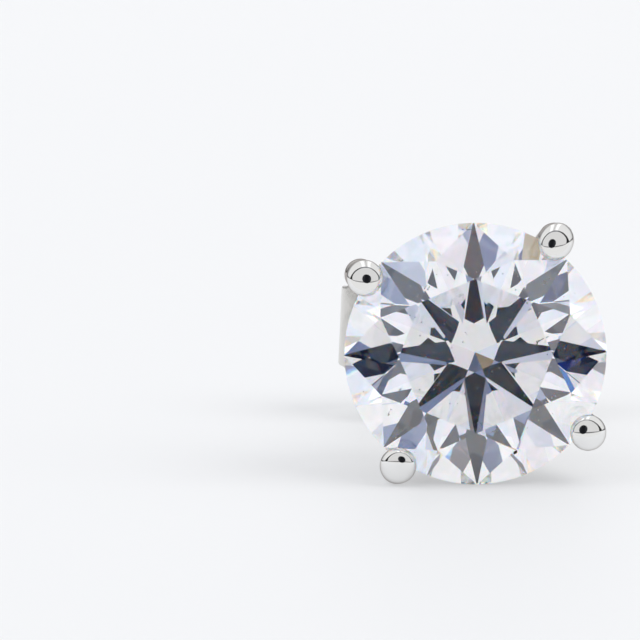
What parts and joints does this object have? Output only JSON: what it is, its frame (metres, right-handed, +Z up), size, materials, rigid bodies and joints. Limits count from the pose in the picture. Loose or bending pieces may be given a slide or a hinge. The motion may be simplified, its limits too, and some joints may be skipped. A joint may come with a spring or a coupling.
{
  "type": "diamond stud earring",
  "caption": "Stud earring: a round brilliant in a wire prong basket on a straight post, with a push-on friction back, lying on a surface as it comes to rest by itself",
  "frame": {"origin": "on the surface that the earring lies on, below the middle of its bounding box", "axes": "+Z up; the stone faces -Y and about 6 degrees upward, the post points to +Y, and +X is to the right of someone who faces the stone"},
  "size_m": [0.0068, 0.0146, 0.0065],
  "materials": {
    "diamond": "colourless diamond, polished facets",
    "white_gold": "white gold, rhodium plated and mirror polished"
  },
  "bodies": {
    "stud": {"diamond": "diamond", "setting": "white_gold"},
    "back": {"friction_back": "white_gold"}
  },
  "joints": [
    {"name": "back_pull", "type": "slide", "parent": "stud", "child": "back", "axis": [0, 0.9951, -0.0991], "range_m": [-0.0045, 0.005]}
  ]
}
